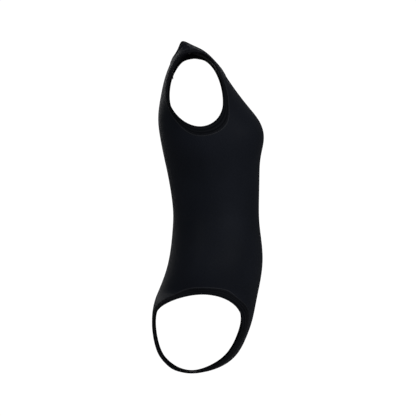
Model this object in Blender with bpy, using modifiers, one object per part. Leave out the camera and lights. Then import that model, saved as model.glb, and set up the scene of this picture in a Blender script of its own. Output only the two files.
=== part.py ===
# Gymnastics leotard: sleeveless, crew-scoop neck, full back, medium leg cut, worn empty and upright.
# The wearer faces -Y, +X is the wearer's left and +Z is up. The origin is the middle of the
# bounding box's bottom. Stations are in millimetres as (side, forward, height): forward is -Y.

import math

import bmesh
import bpy
import numpy as np
from mathutils import Vector
from mathutils.bvhtree import BVHTree

NAME = "gymnastics_leotard"
MM = 0.001

# Layers of a bound edge, from the outside in (metres)
SHELL = 0.0007           # stretch fabric of the panels
BINDING = 0.0006         # fabric of the edge bindings
ELASTIC = 0.0004         # flat elastic inside a binding
GAP = 0.0007             # air between neighbouring layers
ELASTIC_WIDTH = 0.006
BUTT = 0.001             # a panel's edge stops this far short of its binding

SEAM_WIDTH = 0.005       # overlocked seam allowance
SEAM_THICK = 0.0009
SEAM_GAP = 0.0016        # from the cloth to the allowance under it
SEAM_END = 0.004         # a side seam stops this far short of the bindings
TAPE_LENGTH = 0.018      # stay tape under each shoulder seam
TAPE_WIDTH = 0.004
TAPE_THICK = 0.0006
TAPE_DROP = 0.0026       # below the fold of the strap, clear of both slopes
THREAD = 0.0003          # radius of a row of stitching
THREAD_GAP = 0.0020
STITCH_INSET = 0.0025    # from the binding's seam edge
LABEL = (0.030, 0.0004, 0.034)
LABEL_DROP = 0.009       # hinge line below the back neck edge, along the cloth
LABEL_STANDOFF = 0.0036

ROW_STEP = 0.026         # longest distance between two rows of a panel
COLUMNS = 8              # columns in half a panel
CORNER_ROWS = (0.0, 0.35, 0.7, 1.0)   # extra rows beside a corner, as parts of the binding's width
CORNER_LEADS = (0.12, 0.25)   # and two more before it, in key rows
CORNER_CLEAR = 0.08      # no other row stands this close to the last of them
ROW_SEARCH = 0.005       # step when looking for the row at a distance from an edge
CURVE_SAMPLES = 12       # samples from one key row to the next along an edge
ROW_SAMPLES = 161        # samples across half a row
STRAP_SAMPLES = 9        # samples across the strap at its shoulder seam
THREAD_SIDES = 5
SAMPLE = 0.016           # radius over which a normal is averaged
PANEL_SPLIT = 0.0005     # half the gap between two panels at a seam
LINING_CLEAR = 0.004     # the gusset lining stops this far short of the leg bindings
LINING_ROWS = 3          # the lining runs forward over this many key rows
LINING_STEPS = 7
LINING_COLUMNS = 4       # in half the lining
CROTCH_SEAM_ROW = 0.3    # the crotch seam's allowance lies just behind the seam
CROTCH_SEAM_STEPS = 5
WELD = 0.00005           # mirrored halves join at the middle within this distance

# Moves the stations so that the origin is the middle of the bounding box's bottom (millimetres)
FORWARD_SHIFT = 0.7
LIFT = 3.3

# A rounded row is a quarter ellipse drawn as a quartic Bezier: these are its control ratios.
REACH = 0.414
CORNER = 0.776

# Key rows from the crotch seam to the shoulder seam: inner end, outer end, roundness, swell.
# The inner end runs up the centre line and then round the neck. The outer end runs along the
# leg, up the side seam from the leg's top to the underarm, and up the armhole.
FRONT_ROWS = [
    ((0, -40, 0), (36, -38, 2), 0.5, 0.0),
    ((0, -10, 1), (36, -14, 5), 0.5, 0.0),
    ((0, 33, 16), (40, 22, 23), 0.6, 0.0),
    ((0, 61, 41), (53, 45.5, 47), 0.7, 0.0),
    ((0, 78, 74), (78, 61, 78), 0.8, 0.0),
    ((0, 89, 106), (106, 67, 110), 0.8, 0.0),
    ((0, 95.5, 136), (130, 51, 141.5), 0.9, 0.0),
    ((0, 101.5, 166), (150, -10, 162), 1.0, 0.0),
    ((0, 110, 227), (154, -3, 222), 1.0, 0.0),
    ((0, 104.5, 291), (126, 6, 288), 1.0, 0.0),
    ((0, 102.5, 330), (118, 8, 325), 1.0, 0.0),
    ((0, 103.5, 390), (126, 4, 385), 1.0, 0.0),
    ((0, 106, 435), (136, -4, 430), 1.0, 0.12),
    ((0, 112.5, 473), (141, -10, 463), 1.0, 0.25),
    ((0, 104.5, 505), (139, -15, 493), 1.0, 0.20),
    ((0, 84, 533), (134, 18.5, 509), 0.8, 0.06),
    ((0, 64, 558), (127, 30.5, 545), 0.7, 0.0),
    ((0, 41, 590), (120, 27.5, 582), 0.6, 0.0),
    ((0, 28, 610.5), (118, 21, 602), 0.5, 0.0),
    ((38, 17, 622.5), (117, 12, 619), 0.4, 0.0),
    ((60, -10, 646.5), (117, -5, 635.5), 0.4, 0.0),
    ((67, -33.5, 657.5), (118, -18, 639), 0.4, 0.0),
    ((70, -51, 664.5), (118, -27, 640), 0.4, 0.0),
]
BACK_ROWS = [
    ((0, -40, 0), (36, -38, 2), 0.5, 0.0),
    ((0, -58, 2), (38, -58, 7), 0.5, 0.0),
    ((0, -76, 10), (44, -73, 15.5), 0.6, 0.0),
    ((0, -92, 26), (56, -88, 28.5), 0.7, 0.0),
    ((0, -103, 46), (74, -99, 48), 0.8, 0.1),
    ((0, -110, 78), (96, -107, 81), 0.8, 0.3),
    ((0, -112, 112), (112, -107, 112), 0.9, 0.4),
    ((0, -108, 142), (131, -90, 139), 0.9, 0.2),
    ((0, -97.5, 170), (150, -10, 162), 1.0, 0.05),
    ((0, -80, 222), (154, -3, 222), 1.0, 0.0),
    ((0, -71, 291), (126, 6, 288), 1.0, 0.0),
    ((0, -70.5, 330), (118, 8, 325), 1.0, 0.0),
    ((0, -79, 390), (126, 4, 385), 1.0, 0.0),
    ((0, -88.5, 435), (136, -4, 430), 1.0, 0.04),
    ((0, -95.5, 470), (141, -10, 463), 1.0, 0.10),
    ((0, -100, 503), (139, -15, 493), 1.0, 0.16),
    ((0, -99, 532), (134, -55, 509), 0.8, 0.14),
    ((0, -94, 562), (127, -78, 545), 0.7, 0.05),
    ((0, -85.5, 598), (120, -77.5, 588), 0.6, 0.0),
    ((0, -70, 636), (118, -69, 612), 0.5, 0.0),
    ((47, -64.5, 642), (117, -53, 633), 0.4, 0.0),
    ((63, -57.5, 655), (118, -39, 638.5), 0.4, 0.0),
    ((70, -51, 664.5), (118, -27, 640), 0.4, 0.0),
]
# Rows where an end turns a corner: leg top, underarm and centre neck.
FRONT_LEG, FRONT_ARM, FRONT_NECK = 7, 14, 18
BACK_LEG, BACK_ARM, BACK_NECK = 8, 15, 19

# Width of a binding from its fold to its seam at the key points round its edge (millimetres).
# A leg's points run from the crotch up the front and down the back, an armhole's from the
# underarm up the front and down the back.
LEG_WIDTHS = (14, 14, 14, 16, 24, 28, 18, 13, 17, 19, 15, 13, 13, 13, 14)
ARM_WIDTHS = (18, 21, 14, 12, 12, 12, 13, 13, 13, 13, 13, 12, 12, 12, 13)
NECK_WIDTH = 12


def to_world(point):
    side, forward, height = point
    return np.array((side, -forward - FORWARD_SHIFT, height + LIFT)) * MM


class Spline:
    """A smooth curve through points, read at a fractional point number."""

    def __init__(self, points, closed=False):
        self.points = np.array(points, float)
        self.closed = closed
        if closed:
            self.points = np.vstack([self.points, self.points[:1]])
        gaps = np.linalg.norm(np.diff(self.points, axis=0), axis=1)
        self.knots = np.concatenate([[0.0], np.cumsum(np.sqrt(gaps))])
        self.bends = self._bends()

    def _bends(self):
        """Second derivatives at the points, so that slope and bend run on through each one."""
        count = len(self.points)
        steps = np.diff(self.knots)
        slopes = np.diff(self.points, axis=0) / steps[:, None]
        matrix = np.eye(count)
        right = np.zeros_like(self.points)
        for i in range(1, count - 1):
            matrix[i, i - 1:i + 2] = steps[i - 1], 2 * (steps[i - 1] + steps[i]), steps[i]
            right[i] = 6 * (slopes[i] - slopes[i - 1])
        if self.closed:
            matrix[0, -1] = -1
            matrix[-1] = 0
            matrix[-1, 0] = 2 * (steps[0] + steps[-1])
            matrix[-1, 1] = steps[0]
            matrix[-1, -2] = steps[-1]
            right[-1] = 6 * (slopes[0] - slopes[-1])
        return np.linalg.solve(matrix, right)

    def at(self, number):
        last = len(self.points) - 1
        if self.closed:
            number = number % last
        i = min(int(number), last - 1)
        part = number - i
        step = self.knots[i + 1] - self.knots[i]
        before, after = 1 - part, part
        curve = (before ** 3 - before) * self.bends[i] + (after ** 3 - after) * self.bends[i + 1]
        return before * self.points[i] + after * self.points[i + 1] + curve * step * step / 6


def mirrored(points):
    return [(-x, y, z) for x, y, z in points]


class Edge:
    """A closed edge of the garment with the width of its binding."""

    def __init__(self, curve, widths):
        self.curve = curve
        self.count = len(curve.points) - 1
        self.widths = widths
        numbers = [k / CURVE_SAMPLES for k in range(CURVE_SAMPLES * self.count)]
        self.dense = np.array([curve.at(number) for number in numbers])
        self.reach = np.array([self.width(number) for number in numbers])

    def width(self, number):
        """Width at a point number, easing from one key point to the next."""
        first = int(number) % self.count
        part = number % 1
        part = part * part * (3 - 2 * part)
        return (self.widths[first] * (1 - part) + self.widths[(first + 1) % self.count] * part) * MM

    def clearance(self, points):
        """How far each point stands clear of the binding."""
        gaps = np.linalg.norm(points[:, None, :] - self.dense[None, :, :], axis=2)
        return (gaps - self.reach).min(axis=1)

    def stops(self):
        """Points round the edge with the binding's width at each, every key point among them."""
        found = []
        for i in range(self.count):
            length = np.linalg.norm(self.curve.at(i + 1) - self.curve.at(i))
            pieces = max(1, math.ceil(length / ROW_STEP))
            numbers = [i + k / pieces for k in range(pieces)]
            found += [(Vector(self.curve.at(number)), self.width(number)) for number in numbers]
        return found


class Panel:
    """Half of the front or the back as a loft of rows from the middle to the outer edge."""

    def __init__(self, rows, leg, arm, neck, other):
        self.last = len(rows) - 1
        self.leg, self.arm, self.neck = leg, arm, neck
        inner = [to_world(row[0]) for row in rows]
        outer = [to_world(row[1]) for row in rows]
        far_inner = [to_world(row[0]) for row in other[0]]
        far_outer = [to_world(row[1]) for row in other[0]]
        far_leg, far_arm, far_neck = other[1:]
        self.centre = Spline(inner[:neck + 1])
        self.side = Spline(outer[leg:arm + 1])
        self.leg_loop = Spline(outer[:leg + 1] + far_outer[1:far_leg][::-1], closed=True)
        self.arm_loop = Spline(outer[arm:] + far_outer[far_arm + 1:-1][::-1], closed=True)
        near_side = inner[neck:]
        far_side = far_inner[far_neck:-1][::-1]
        self.neck_loop = Spline(
            near_side + far_side + mirrored(far_side[:-1])[::-1] + mirrored(near_side[1:])[::-1],
            closed=True,
        )
        self.form = Spline([(0.0 + i, row[2], row[3]) for i, row in enumerate(rows)])
        self.cups = Spline([self.cup(i) for i in range(len(rows))])

    def inner(self, row):
        if row <= self.neck:
            return self.centre.at(row)
        return self.neck_loop.at(row - self.neck)

    def outer(self, row):
        if row < self.leg:
            return self.leg_loop.at(row)
        if row <= self.arm:
            return self.side.at(row - self.leg)
        return self.arm_loop.at(row - self.arm)

    def cup(self, row):
        """The control point that sets how full a row is between its two ends."""
        start, end = self.inner(row), self.outer(row)
        form = self.form.at(row)
        across = np.array((end[0] - start[0], 0, 0))
        depth = start - end + across
        round_cup = start + CORNER * across - (1 - CORNER - form[2]) * depth
        straight = (start + end) / 2
        return straight + form[1] * (round_cup - straight)

    def controls(self, row):
        start, end = self.inner(row), self.outer(row)
        form = self.form.at(row)
        across = np.array((end[0] - start[0], 0, 0))
        depth = start - end + across
        lead = start + REACH * across
        if row > self.neck:
            past = min(1.0, row - self.neck)
            straight = start + (end - start) / 4
            lead = lead + (1 - form[1]) * past ** 2 * (3 - 2 * past) * (straight - lead)
        tail = end + (start - end) / 4
        tail = tail + form[1] * (end + REACH * depth - tail)
        return np.array((start, lead, self.cups.at(row), tail, end))

    def row(self, row, places):
        """Points of one row, at places from 0 in the middle to 1 at the outer edge."""
        weights = [math.comb(4, k) * places ** k * (1 - places) ** (4 - k) for k in range(5)]
        return np.stack(weights, axis=1) @ self.controls(row)

    def stations(self, step):
        """Fractional row numbers, closer together where a binding's seam meets a corner."""
        found = {0.0}
        for i in range(self.last):
            lengths = (self.inner(i + 1) - self.inner(i), self.outer(i + 1) - self.outer(i))
            longest = max(np.linalg.norm(length) for length in lengths)
            count = max(1, math.ceil(longest / step))
            found |= {i + (k + 1) / count for k in range(count)}
        corners = (
            (self.leg, 1, self.outer, LEG_EDGE),
            (self.arm, -1, self.outer, ARM_EDGE),
            (self.neck, -1, self.inner, NECK_EDGE),
        )
        for corner, way, end, edge in corners:
            turn = corner
            while edge.clearance(end(turn)[None])[0] < BUTT:
                turn += way * ROW_SEARCH
            found = {number for number in found if not 0 < abs(number - turn) < CORNER_CLEAR}
            found |= {corner + (turn - corner) * part for part in CORNER_ROWS}
            found |= {corner - way * lead for lead in CORNER_LEADS}
        return sorted(float(number) for number in found)


FRONT = Panel(FRONT_ROWS, FRONT_LEG, FRONT_ARM, FRONT_NECK, (BACK_ROWS, BACK_LEG, BACK_ARM, BACK_NECK))
BACK = Panel(BACK_ROWS, BACK_LEG, BACK_ARM, BACK_NECK, (FRONT_ROWS, FRONT_LEG, FRONT_ARM, FRONT_NECK))
LEG_EDGE = Edge(FRONT.leg_loop, LEG_WIDTHS)
ARM_EDGE = Edge(FRONT.arm_loop, ARM_WIDTHS)
NECK_EDGE = Edge(FRONT.neck_loop, [NECK_WIDTH] * (len(FRONT.neck_loop.points) - 1))


def clear_scene():
    for item in list(bpy.data.objects):
        bpy.data.objects.remove(item, do_unlink=True)


def make_material(name, colour, roughness):
    material = bpy.data.materials.new(name)
    material.use_nodes = True
    shader = material.node_tree.nodes["Principled BSDF"]
    shader.inputs["Base Color"].default_value = (*colour, 1.0)
    shader.inputs["Roughness"].default_value = roughness
    shader.inputs["Metallic"].default_value = 0.0
    return material


def add_mesh(name, points, faces, material, collection):
    mesh = bpy.data.meshes.new(name)
    mesh.from_pydata([tuple(point) for point in points], [], faces)
    solid = bmesh.new()
    solid.from_mesh(mesh)
    bmesh.ops.recalc_face_normals(solid, faces=solid.faces)
    solid.to_mesh(mesh)
    solid.free()
    mesh.shade_smooth()
    mesh.materials.append(material)
    item = bpy.data.objects.new(name, mesh)
    collection.objects.link(item)
    return item


def grid(rows):
    """Points and faces of a sheet given as rows of equal length."""
    width = len(rows[0])
    points = [point for row in rows for point in row]
    faces = []
    for i in range(len(rows) - 1):
        for j in range(width - 1):
            corner = i * width + j
            faces.append((corner, corner + 1, corner + width + 1, corner + width))
    return points, faces


def loft(name, sections, material, collection, depths, closed=True):
    """A solid through equal rings of points, either a closed loop or with two flat ends.

    Every quad is split from its deeper corner to the next ring's shallower one, so that the two
    faces of a thin wall bend along the same line and never cross.
    """
    size = len(sections[0])
    points = [point for section in sections for point in section]
    faces = []
    count = len(sections)
    for i in range(count if closed else count - 1):
        here, there = i * size, (i + 1) % count * size
        for j in range(size):
            k = (j + 1) % size
            if depths[j] >= depths[k]:
                faces += [(here + j, here + k, there + k), (here + j, there + k, there + j)]
            else:
                faces += [(here + j, here + k, there + j), (here + k, there + k, there + j)]
    if not closed:
        faces.append(tuple(range(size)))
        faces.append(tuple(range((count - 1) * size, count * size)))
    return add_mesh(name, points, faces, material, collection)


def trimmed_places(panel, number):
    """The stretch of a row that lies inside the bindings, as its first and last place."""
    places = np.linspace(0, 1, ROW_SAMPLES)
    points = panel.row(number, places)
    clear = np.ones(len(places), bool)
    for edge in (LEG_EDGE, ARM_EDGE, NECK_EDGE):
        clear &= edge.clearance(points) >= BUTT
    inside = np.flatnonzero(clear)
    if len(inside) == 0:
        return None
    return places[inside[0]], places[inside[-1]]


def half_sheet(panel, columns, trim=True):
    """The middle surface of half a panel, held off its seams by the panel split."""
    rows = []
    for number in panel.stations(ROW_STEP):
        first, last = trimmed_places(panel, number) if trim else (0, 1)
        row = panel.row(number, np.linspace(first, last, columns + 1))
        if last == 1:
            toward = row[-2] - row[-1]
            row[-1] += toward / np.linalg.norm(toward) * PANEL_SPLIT
        rows.append(row)
    for end, near in ((0, 1), (-1, -2)):
        toward = rows[near] - rows[end]
        rows[end] = rows[end] + toward / np.linalg.norm(toward, axis=1)[:, None] * PANEL_SPLIT
    for row in rows:
        if row[0][0] < MM:
            row[0][0] = 0.0
    return rows


def facing_out(faces, points):
    """Turns the faces of a sheet, if need be, so that its normals point away from the body."""
    a, b, c = (Vector(points[k]) for k in faces[len(faces) // 2][:3])
    normal = (b - a).cross(c - a)
    away = Vector((a.x, a.y, 0))
    if normal.dot(away) < 0:
        return [tuple(reversed(face)) for face in faces]
    return faces


def add_panel(name, panel, material, collection):
    points, faces = grid(half_sheet(panel, COLUMNS))
    faces = facing_out(faces, points)
    mesh = bpy.data.meshes.new(name)
    mesh.from_pydata([tuple(point) for point in points], [], faces)
    mesh.shade_smooth()
    mesh.materials.append(material)
    item = bpy.data.objects.new(name, mesh)
    collection.objects.link(item)
    mirror = item.modifiers.new("other_half", "MIRROR")
    mirror.use_axis[0] = True
    mirror.use_clip = True
    mirror.merge_threshold = WELD
    thick = item.modifiers.new("cloth", "SOLIDIFY")
    thick.thickness = SHELL
    thick.offset = 0.0
    thick.use_even_offset = True
    return item


class Cloth:
    """The panels' middle surface, both halves, for laying other pieces on it."""

    def __init__(self):
        points, faces = [], []
        for panel in (FRONT, BACK):
            for flip in (1, -1):
                part_points, part_faces = grid(half_sheet(panel, COLUMNS, trim=False))
                part_faces = facing_out(part_faces, part_points)
                if flip < 0:
                    part_faces = [tuple(reversed(face)) for face in part_faces]
                base = len(points)
                points += [Vector((flip * p[0], p[1], p[2])) for p in part_points]
                faces += [tuple(base + k for k in face) for face in part_faces]
        self.tree = BVHTree.FromPolygons(points, faces)

    def normal(self, point):
        total = Vector((0, 0, 0))
        for _, normal, _, distance in self.tree.find_nearest_range(point, SAMPLE):
            total += normal * (SAMPLE - distance)
        if total.length == 0:
            total = self.tree.find_nearest(point)[1]
        return total.normalized()

    def lay(self, point):
        """The nearest point of the cloth and the outward normal there."""
        spot = self.tree.find_nearest(point)[0]
        return spot, self.normal(spot)


def edge_frames(cloth, points, flip):
    """Edge point, outward normal and the direction into the cloth, round a closed edge."""
    frames = []
    count = len(points)
    for i in range(count):
        here = points[i]
        along = (points[(i + 1) % count] - points[i - 1]).normalized()
        normal = cloth.normal(here)
        into = normal.cross(along).normalized() * flip
        frames.append((here, normal, into))
    return frames


# How deep each corner of a cross-section lies in the cloth; the fold's own corners lie near zero.
BINDING_DEPTHS = (2, 1, 0.2, 0.1, -0.1, -0.2, 1, 2, 2, 1, -0.1, 0.1, 1, 2)
ELASTIC_DEPTHS = (0, 1, 1, 0)
THREAD_DEPTHS = (0, 1, 1, 0, 0)
SEAM_DEPTHS = (0, 1, 1, 0)
# Corners of a binding's cross-section: where its channel starts on the inner and the outer side
CHANNEL_IN, CHANNEL_OUT = 8, 11


def binding_ring(cloth, frame, width):
    """A folded strip's cross-section: outer lip, fold and inner lip."""
    here, edge_normal, into = frame
    spots = [cloth.lay(here + into * width * part) for part in (1.0, 0.5)]
    spots.append((here + into * BINDING, edge_normal))
    low = SHELL / 2 + GAP
    high = low + BINDING
    outside = [spot + normal * high for spot, normal in spots]
    inside = [spot - normal * high for spot, normal in spots[::-1]]
    channel_in = [spot - normal * low for spot, normal in spots]
    channel_out = [spot + normal * low for spot, normal in spots[::-1]]
    fold = [here + edge_normal * low, here - edge_normal * low]
    return outside + fold + inside + channel_in + channel_out


def elastic_ring(ring, width):
    """A flat elastic's cross-section, in the middle of the binding's channel."""
    fold_top, middle_top = ring[CHANNEL_OUT:CHANNEL_OUT + 2]
    middle_low, fold_low = ring[CHANNEL_IN + 1:CHANNEL_OUT]
    corners = []
    for place in (GAP / (width / 2), (GAP + ELASTIC_WIDTH) / (width / 2)):
        top = fold_top.lerp(middle_top, place)
        low = fold_low.lerp(middle_low, place)
        centre = (top + low) / 2
        rise = (top - low).normalized() * ELASTIC / 2
        corners += [centre + rise, centre - rise]
    return [corners[0], corners[2], corners[3], corners[1]]


def thread_ring(frame, ring, width):
    """A round thread lying on the binding's outer lip, near its seam edge."""
    into = frame[2]
    normal = (ring[0] - ring[CHANNEL_IN - 1]).normalized()
    centre = ring[0].lerp(ring[1], STITCH_INSET / (width / 2)) + normal * (THREAD_GAP + THREAD)
    return [
        centre + (into * math.cos(turn) + normal * math.sin(turn)) * THREAD
        for turn in (math.tau * k / THREAD_SIDES for k in range(THREAD_SIDES))
    ]


def mirror_rings(rings):
    return [[Vector((-p.x, p.y, p.z)) for p in ring] for ring in rings]


def add_pair(name, rings, material, collection, depths, closed=True):
    """The left piece and its mirror image."""
    loft("left_" + name, rings, material, collection, depths, closed)
    loft("right_" + name, mirror_rings(rings), material, collection, depths, closed)


def bound_edge(cloth, edge, flip):
    """The rings of an edge's binding, elastic and stitching, each with its corners' depths."""
    points, widths = zip(*edge.stops())
    frames = edge_frames(cloth, points, flip)
    bindings = [binding_ring(cloth, frame, width) for frame, width in zip(frames, widths)]
    elastics = [elastic_ring(ring, width) for ring, width in zip(bindings, widths)]
    threads = [thread_ring(*parts) for parts in zip(frames, bindings, widths)]
    return {
        "binding": (bindings, BINDING_DEPTHS),
        "elastic": (elastics, ELASTIC_DEPTHS),
        "stitching": (threads, THREAD_DEPTHS),
    }


def seam_rings(cloth, points):
    """A flat strip under a seam, on the inside of the cloth."""
    rings = []
    for i, here in enumerate(points):
        before, after = points[max(i - 1, 0)], points[min(i + 1, len(points) - 1)]
        along = (after - before).normalized()
        across = cloth.normal(here).cross(along).normalized() * SEAM_WIDTH / 2
        left, left_normal = cloth.lay(here - across)
        right, right_normal = cloth.lay(here + across)
        high = SHELL / 2 + SEAM_GAP
        low = high + SEAM_THICK
        ring = [left - left_normal * high, right - right_normal * high]
        ring += [right - right_normal * low, left - left_normal * low]
        rings.append(ring)
    return rings


def tape_rings(cloth, start, end):
    """A flat stay tape across the strap, under the fold at its shoulder seam."""
    along = (end - start).normalized()
    across = cloth.normal((start + end) / 2).cross(along).normalized() * TAPE_WIDTH / 2
    normal = along.cross(across).normalized()
    rings = []
    for here in (start, end):
        high = here - normal * TAPE_DROP
        low = high - normal * TAPE_THICK
        rings.append([high - across, high + across, low + across, low - across])
    return rings


def trimmed(points, start, end):
    """The part of an open path left after cutting a length off each end."""
    path = Spline(points)
    lengths = [0.0]
    dense = [Vector(path.at(k / 8)) for k in range(8 * (len(points) - 1) + 1)]
    for a, b in zip(dense, dense[1:]):
        lengths.append(lengths[-1] + (b - a).length)
    total = lengths[-1]
    wanted = np.linspace(start, total - end, max(2, math.ceil((total - start - end) / ROW_STEP) + 1))
    return [Vector([np.interp(w, lengths, [p[k] for p in dense]) for k in range(3)]) for w in wanted]


def add_gusset_lining(cloth, material, collection):
    """The crotch lining: a second layer inside the front panel, between the leg bindings."""
    rows = []
    drop = SHELL / 2 + GAP + BINDING / 2
    for number in np.linspace(0, LINING_ROWS, LINING_STEPS):
        reach = FRONT.outer(number)[0] - LEG_EDGE.width(number) - LINING_CLEAR
        line = []
        spread = FRONT.row(number, np.linspace(0, 1, ROW_SAMPLES))
        for part in np.linspace(0, 1, LINING_COLUMNS + 1):
            x = reach * part
            y, z = (np.interp(x, spread[:, 0], spread[:, k]) for k in (1, 2))
            spot, normal = cloth.lay(Vector((x, y, z)))
            if part == 0:
                normal.x = 0
                normal.normalize()
            line.append(np.array(spot - normal * drop))
        line[0][0] = 0.0
        rows.append(line)
    points, faces = grid(rows)
    mesh = bpy.data.meshes.new("crotch_lining")
    mesh.from_pydata([tuple(point) for point in points], [], faces)
    mesh.shade_smooth()
    mesh.materials.append(material)
    item = bpy.data.objects.new("crotch_lining", mesh)
    collection.objects.link(item)
    mirror = item.modifiers.new("other_half", "MIRROR")
    mirror.use_axis[0] = True
    mirror.use_clip = True
    mirror.merge_threshold = WELD
    thick = item.modifiers.new("cloth", "SOLIDIFY")
    thick.thickness = -BINDING
    thick.offset = 0.0
    thick.use_even_offset = True
    return item


def add_label(cloth, material, collection):
    """A blank care label that hangs inside the back neck and swings about its sewn edge."""
    neck = Vector(BACK.inner(BACK.neck))
    below = Vector(BACK.inner(BACK.neck - 1))
    spot, normal = cloth.lay(neck + (below - neck).normalized() * LABEL_DROP)
    hinge = spot - normal * LABEL_STANDOFF
    hinge.x = 0.0
    bpy.ops.mesh.primitive_cube_add(size=1.0)
    item = bpy.context.object
    item.name = "care_label"
    item.data.name = "care_label"
    for corner in item.data.vertices:
        corner.co = Vector((corner.co.x * LABEL[0], corner.co.y * LABEL[1], (corner.co.z - 0.5) * LABEL[2]))
    item.data.materials.append(material)
    for old in list(item.users_collection):
        old.objects.unlink(item)
    collection.objects.link(item)
    item.location = hinge
    return item


def build():
    clear_scene()
    collection = bpy.data.collections.new(NAME)
    bpy.context.scene.collection.children.link(collection)
    shell = make_material("black_nylon_elastane", (0.008, 0.010, 0.014), 0.42)
    binding = make_material("black_binding_fabric", (0.005, 0.006, 0.007), 0.7)
    elastic = make_material("black_elastic", (0.012, 0.012, 0.013), 0.8)
    thread = make_material("black_thread", (0.010, 0.010, 0.011), 0.6)
    lining = make_material("black_lining_fabric", (0.010, 0.010, 0.011), 0.8)
    clear_tape = make_material("clear_shoulder_tape", (0.5, 0.5, 0.48), 0.35)
    satin = make_material("black_label_satin", (0.012, 0.012, 0.013), 0.45)

    add_panel("front_panel", FRONT, shell, collection)
    add_panel("back_panel", BACK, shell, collection)
    cloth = Cloth()

    slots = {"binding": binding, "elastic": elastic, "stitching": thread}
    for name, edge in (("leg", LEG_EDGE), ("armhole", ARM_EDGE)):
        for piece, (rings, depths) in bound_edge(cloth, edge, 1).items():
            add_pair(name + "_" + piece, rings, slots[piece], collection, depths)
    for piece, (rings, depths) in bound_edge(cloth, NECK_EDGE, -1).items():
        loft("neck_" + piece, rings, slots[piece], collection, depths)

    side = [Vector(FRONT.outer(number)) for number in range(FRONT.leg, FRONT.arm + 1)]
    side = trimmed(side, LEG_EDGE.width(FRONT.leg) + SEAM_END, ARM_EDGE.width(0) + SEAM_END)
    add_pair("side_seam", seam_rings(cloth, side), thread, collection, SEAM_DEPTHS, closed=False)

    strap = [Vector(point) for point in FRONT.row(FRONT.last, np.linspace(0, 1, STRAP_SAMPLES))]
    length = sum((after - before).length for before, after in zip(strap, strap[1:]))
    neck_width = NECK_EDGE.width(FRONT.last - FRONT.neck)
    arm_width = ARM_EDGE.width(FRONT.last - FRONT.arm)
    middle = (length + neck_width - arm_width) / 2
    tape_path = trimmed(strap, middle - TAPE_LENGTH / 2, length - middle - TAPE_LENGTH / 2)
    rings = tape_rings(cloth, tape_path[0], tape_path[-1])
    add_pair("shoulder_tape", rings, clear_tape, collection, SEAM_DEPTHS, closed=False)

    half = FRONT.outer(0)[0] - LEG_EDGE.width(0) - LINING_CLEAR
    add_gusset_lining(cloth, lining, collection)
    row = BACK.row(CROTCH_SEAM_ROW, np.linspace(0, 1, ROW_SAMPLES))
    crotch = []
    for x in np.linspace(-half, half, CROTCH_SEAM_STEPS):
        y, z = (np.interp(abs(x), row[:, 0], row[:, k]) for k in (1, 2))
        crotch.append(Vector((x, y, z)))
    loft("crotch_seam", seam_rings(cloth, crotch), thread, collection, SEAM_DEPTHS, closed=False)
    add_label(cloth, satin, collection)


build()
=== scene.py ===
# Looks of the gymnastics leotard: stretch shell, folded bindings, stitching, seams, lining and label.

import math

import bmesh
import bpy
import numpy as np
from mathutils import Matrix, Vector
from mathutils.bvhtree import BVHTree


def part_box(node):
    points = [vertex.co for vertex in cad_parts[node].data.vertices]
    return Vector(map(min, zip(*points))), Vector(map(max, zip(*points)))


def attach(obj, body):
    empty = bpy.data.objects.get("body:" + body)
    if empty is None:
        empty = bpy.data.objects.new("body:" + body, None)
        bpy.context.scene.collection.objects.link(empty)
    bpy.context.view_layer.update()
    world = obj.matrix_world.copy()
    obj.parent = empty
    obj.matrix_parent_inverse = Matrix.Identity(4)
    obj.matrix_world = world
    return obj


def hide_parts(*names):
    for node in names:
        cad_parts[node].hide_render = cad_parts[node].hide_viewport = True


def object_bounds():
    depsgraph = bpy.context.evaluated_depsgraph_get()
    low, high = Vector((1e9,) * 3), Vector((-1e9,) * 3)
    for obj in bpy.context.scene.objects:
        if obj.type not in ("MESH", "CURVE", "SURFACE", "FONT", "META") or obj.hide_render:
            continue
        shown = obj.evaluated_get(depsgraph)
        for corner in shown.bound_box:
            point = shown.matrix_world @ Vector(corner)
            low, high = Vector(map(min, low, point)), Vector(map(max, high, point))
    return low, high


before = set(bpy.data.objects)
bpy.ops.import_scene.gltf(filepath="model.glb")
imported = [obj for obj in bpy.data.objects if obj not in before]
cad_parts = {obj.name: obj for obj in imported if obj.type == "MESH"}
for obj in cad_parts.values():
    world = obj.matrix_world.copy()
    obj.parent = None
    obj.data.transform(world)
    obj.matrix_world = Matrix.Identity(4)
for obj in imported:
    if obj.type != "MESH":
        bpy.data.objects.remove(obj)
CAD_LOW, CAD_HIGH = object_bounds()

# ---------------------------------------------------------------- sizes
DESIGN_HEIGHT = 0.66906         # overall height that the key rows below are drawn for (metres)
MM = 0.001 * (CAD_HIGH.z - CAD_LOW.z) / DESIGN_HEIGHT
FORWARD_SHIFT = 0.7             # from the key rows' origin to the frame's (millimetres)
LIFT = 3.3

CELL = 3.6 * MM                 # size of the shell's faces
HALF_COLUMNS = 48               # faces across half a panel
ROW_ROUNDS = 16                 # smoothing rounds from row to row, between a panel's ends
SHELL = 0.7 * MM                # cloth thickness
NORMAL_RADIUS = 12 * MM         # radius over which a normal is averaged

# Bindings: a folded strip round each edge, with flat elastic inside
WIDTHS = {"armhole": 14 * MM, "leg": 14 * MM, "neck": 12 * MM}   # usual width, fold to seam
EDGE_STEP = 2.5 * MM            # distance between two cross-sections
EDGE_ROUNDS = 10                # smoothing rounds along the edge
LIP = 0.85 * MM                 # rise of a binding's face above the cloth's middle
CROWN = 0.35 * MM               # extra rise half way across
OUTER_CHANNEL = 0.45 * MM       # hollow of a binding, outward and inward of the cloth's middle
INNER_CHANNEL = 1.0 * MM
ELASTIC_WIDTH = 6 * MM
ELASTIC_THICK = 0.3 * MM
ELASTIC_INSET = 1.4 * MM
SHELL_TUCK = 5 * MM             # the shell reaches this far under a binding

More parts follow.
